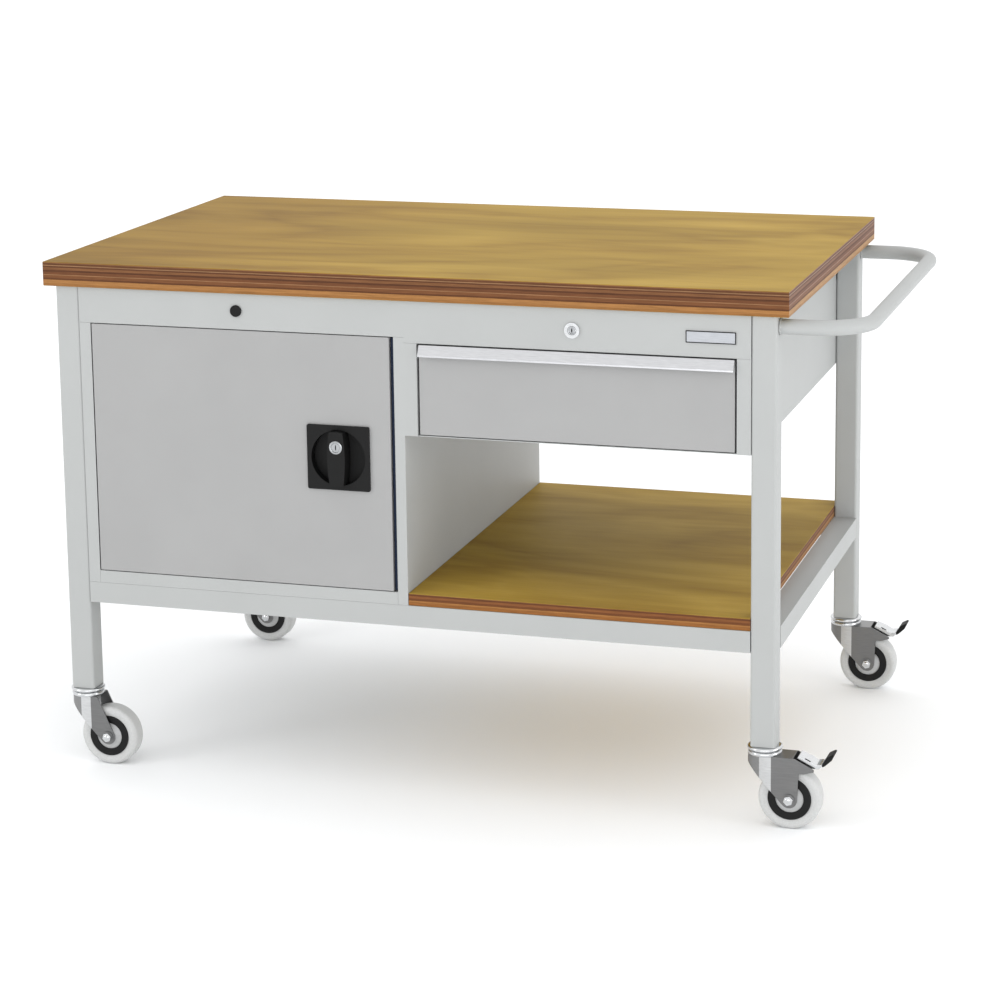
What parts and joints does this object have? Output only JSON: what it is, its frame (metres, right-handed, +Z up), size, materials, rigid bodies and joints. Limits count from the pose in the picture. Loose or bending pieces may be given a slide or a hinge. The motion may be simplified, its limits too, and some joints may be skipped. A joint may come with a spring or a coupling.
{
  "type": "mobile workbench",
  "caption": "Mobile workbench: steel tube frame on braked swivel casters, plywood worktop, lockable cupboard, drawer, open bay with shelf and a tubular push handle at one end.",
  "frame": {"origin": "bottom centre of the whole part, on the floor between the casters", "axes": "+X along the length towards the push handle, +Y from the front to the back, +Z up; the door and the drawer face -Y"},
  "size_m": [1.3624, 0.7804, 0.857],
  "materials": {
    "powder_grey": "light grey powder coat, fine orange peel, satin",
    "front_grey": "slightly darker neutral grey powder coat, satin",
    "plywood": "oiled beech multiplex, honey coloured, layered edges",
    "aluminium_strip": "satin anodised",
    "bright_metal": "bright nickel and chrome plate",
    "zinc_steel": "bright zinc plated sheet steel",
    "black_plastic": "black moulded polyamide",
    "wheel_plastic": "light grey nylon wheel with a black ring"
  },
  "bodies": {
    "bench": {"leg_front_left": "powder_grey", "leg_front_right": "powder_grey", "leg_rear_left": "powder_grey", "leg_rear_right": "powder_grey", "lower_rail_front": "powder_grey", "lower_rail_rear": "powder_grey", "lower_rail_left": "powder_grey", "lower_rail_right": "powder_grey", "top_rail_rear": "powder_grey", "top_rail_left": "powder_grey", "top_rail_right": "powder_grey", "push_handle": "powder_grey", "front_fascia": "powder_grey", "cupboard_side_left": "powder_grey", "middle_partition": "powder_grey", "cupboard_floor": "powder_grey", "cupboard_back": "powder_grey", "cupboard_shelf": "powder_grey", "drawer_bay_side_right": "powder_grey", "drawer_bay_floor": "powder_grey", "drawer_bay_back": "powder_grey", "worktop": "plywood", "bay_shelf": "plywood", "name_plate": "aluminium_strip", "drawer_lock_housing": "bright_metal", "caster_stem_front_left": "bright_metal", "caster_stem_front_right": "bright_metal", "caster_stem_rear_left": "bright_metal", "caster_stem_rear_right": "bright_metal", "runner_left": "zinc_steel", "runner_right": "zinc_steel", "blanking_plug": "black_plastic"},
    "door": {"door_panel": "front_grey", "latch_plate": "black_plastic", "hinge_pin_lower": "zinc_steel", "hinge_pin_upper": "zinc_steel"},
    "latch": {"latch_grip": "black_plastic", "latch_cam": "zinc_steel"},
    "latch_key": {"latch_key_cylinder": "bright_metal"},
    "drawer": {"drawer_front": "front_grey", "drawer_pull": "aluminium_strip", "drawer_tray": "powder_grey", "drawer_back": "powder_grey"},
    "drawer_lock": {"drawer_lock_cylinder": "bright_metal", "drawer_lock_cam": "zinc_steel"},
    "swivel_front_left": {"caster_fork_front_left": "zinc_steel", "caster_axle_front_left": "bright_metal"},
    "wheel_front_left": {"caster_wheel_front_left": "wheel_plastic"},
    "swivel_front_right": {"caster_fork_front_right": "zinc_steel", "caster_axle_front_right": "bright_metal"},
    "wheel_front_right": {"caster_wheel_front_right": "wheel_plastic"},
    "brake_front_right": {"brake_pedal_front_right": "black_plastic"},
    "swivel_rear_left": {"caster_fork_rear_left": "zinc_steel", "caster_axle_rear_left": "bright_metal"},
    "wheel_rear_left": {"caster_wheel_rear_left": "wheel_plastic"},
    "swivel_rear_right": {"caster_fork_rear_right": "zinc_steel", "caster_axle_rear_right": "bright_metal"},
    "wheel_rear_right": {"caster_wheel_rear_right": "wheel_plastic"},
    "brake_rear_right": {"brake_pedal_rear_right": "black_plastic"}
  },
  "joints": [
    {"name": "door_hinge", "type": "hinge", "parent": "bench", "child": "door", "pos_m": [-0.597, -0.37045, 0.55], "axis": [0, 0, -1], "range_deg": [0, 105]},
    {"name": "latch_turn", "type": "hinge", "parent": "door", "child": "latch", "pos_m": [-0.175, -0.36405, 0.5565], "axis": [0, -1, 0], "range_deg": [0, 90]},
    {"name": "latch_key_turn", "type": "hinge", "parent": "latch", "child": "latch_key", "pos_m": [-0.175, -0.38205, 0.576], "axis": [0, 1, 0], "range_deg": [0, 90]},
    {"name": "drawer_slide", "type": "slide", "parent": "bench", "child": "drawer", "axis": [0, -1, 0], "range_m": [0, 0.48]},
    {"name": "drawer_lock_turn", "type": "hinge", "parent": "bench", "child": "drawer_lock", "pos_m": [0.2145, -0.36405, 0.7816], "axis": [0, 1, 0], "range_deg": [0, 90]},
    {"name": "swivel_front_left", "type": "hinge", "parent": "bench", "child": "swivel_front_left", "pos_m": [-0.6425, -0.35405, 0.12], "axis": [0, 0, 1], "continuous": true},
    {"name": "roll_front_left", "type": "hinge", "parent": "swivel_front_left", "child": "wheel_front_left", "pos_m": [-0.6005, -0.35405, 0.05], "axis": [0, 1, 0], "continuous": true},
    {"name": "swivel_front_right", "type": "hinge", "parent": "bench", "child": "swivel_front_right", "pos_m": [0.5175, -0.35405, 0.12], "axis": [0, 0, 1], "continuous": true},
    {"name": "roll_front_right", "type": "hinge", "parent": "swivel_front_right", "child": "wheel_front_right", "pos_m": [0.5595, -0.35405, 0.05], "axis": [0, 1, 0], "continuous": true},
    {"name": "brake_front_right", "type": "hinge", "parent": "swivel_front_right", "child": "brake_front_right", "pos_m": [0.5835, -0.35405, 0.104], "axis": [0, 1, 0], "range_deg": [0, 15]},
    {"name": "swivel_rear_left", "type": "hinge", "parent": "bench", "child": "swivel_rear_left", "pos_m": [-0.6425, 0.36195, 0.12], "axis": [0, 0, 1], "continuous": true},
    {"name": "roll_rear_left", "type": "hinge", "parent": "swivel_rear_left", "child": "wheel_rear_left", "pos_m": [-0.6005, 0.36195, 0.05], "axis": [0, 1, 0], "continuous": true},
    {"name": "swivel_rear_right", "type": "hinge", "parent": "bench", "child": "swivel_rear_right", "pos_m": [0.5175, 0.36195, 0.12], "axis": [0, 0, 1], "continuous": true},
    {"name": "roll_rear_right", "type": "hinge", "parent": "swivel_rear_right", "child": "wheel_rear_right", "pos_m": [0.5595, 0.36195, 0.05], "axis": [0, 1, 0], "continuous": true},
    {"name": "brake_rear_right", "type": "hinge", "parent": "swivel_rear_right", "child": "brake_rear_right", "pos_m": [0.5835, 0.36195, 0.104], "axis": [0, 1, 0], "range_deg": [0, 15]}
  ]
}
